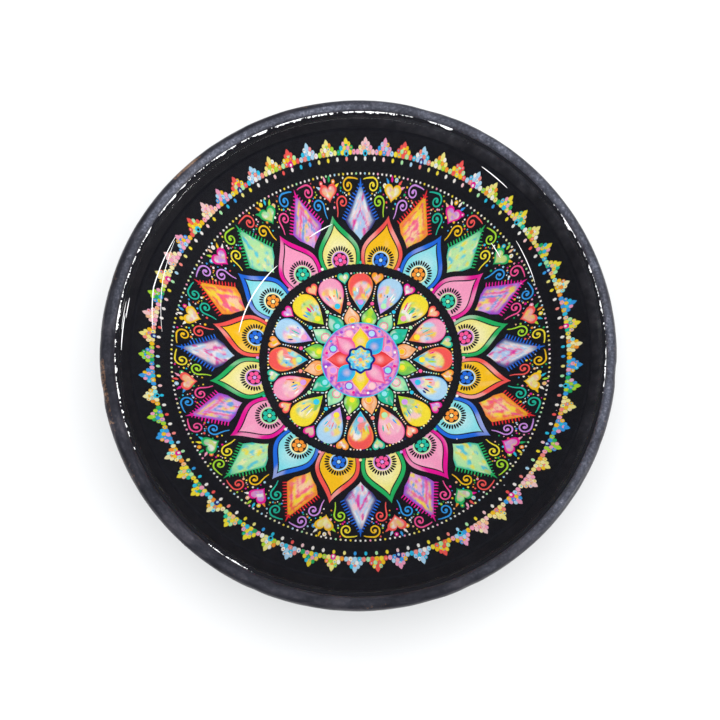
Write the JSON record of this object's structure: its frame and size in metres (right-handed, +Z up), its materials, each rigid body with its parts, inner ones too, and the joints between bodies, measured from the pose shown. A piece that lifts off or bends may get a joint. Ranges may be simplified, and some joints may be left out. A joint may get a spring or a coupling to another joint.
{
  "type": "decorative bowl",
  "caption": "Shallow round black wooden bowl with a worn rounded rim and a colourful mandala print sealed under clear resin, on a felt pad.",
  "frame": {"origin": "centre of the face that the bowl rests on, under its foot pad", "axes": "+Z up through the centre of the bowl, +Y towards the top of the print and along the rim's longer way, +X to the right"},
  "size_m": [0.12, 0.125, 0.028],
  "materials": {
    "blackened_wood": "black stain, satin, chipped and worn to brown at the edges",
    "glue_film": "thin translucent film",
    "printed_paper": "colour print on a black ground",
    "clear_resin": "clear, glossy, slightly wavy",
    "felt": "black pressed felt"
  },
  "bodies": {
    "root": {"bowl": "blackened_wood", "print_adhesive": "glue_film", "print_sheet": "printed_paper", "clear_resin": "clear_resin", "pad_adhesive": "glue_film", "foot_pad": "felt"}
  },
  "joints": []
}
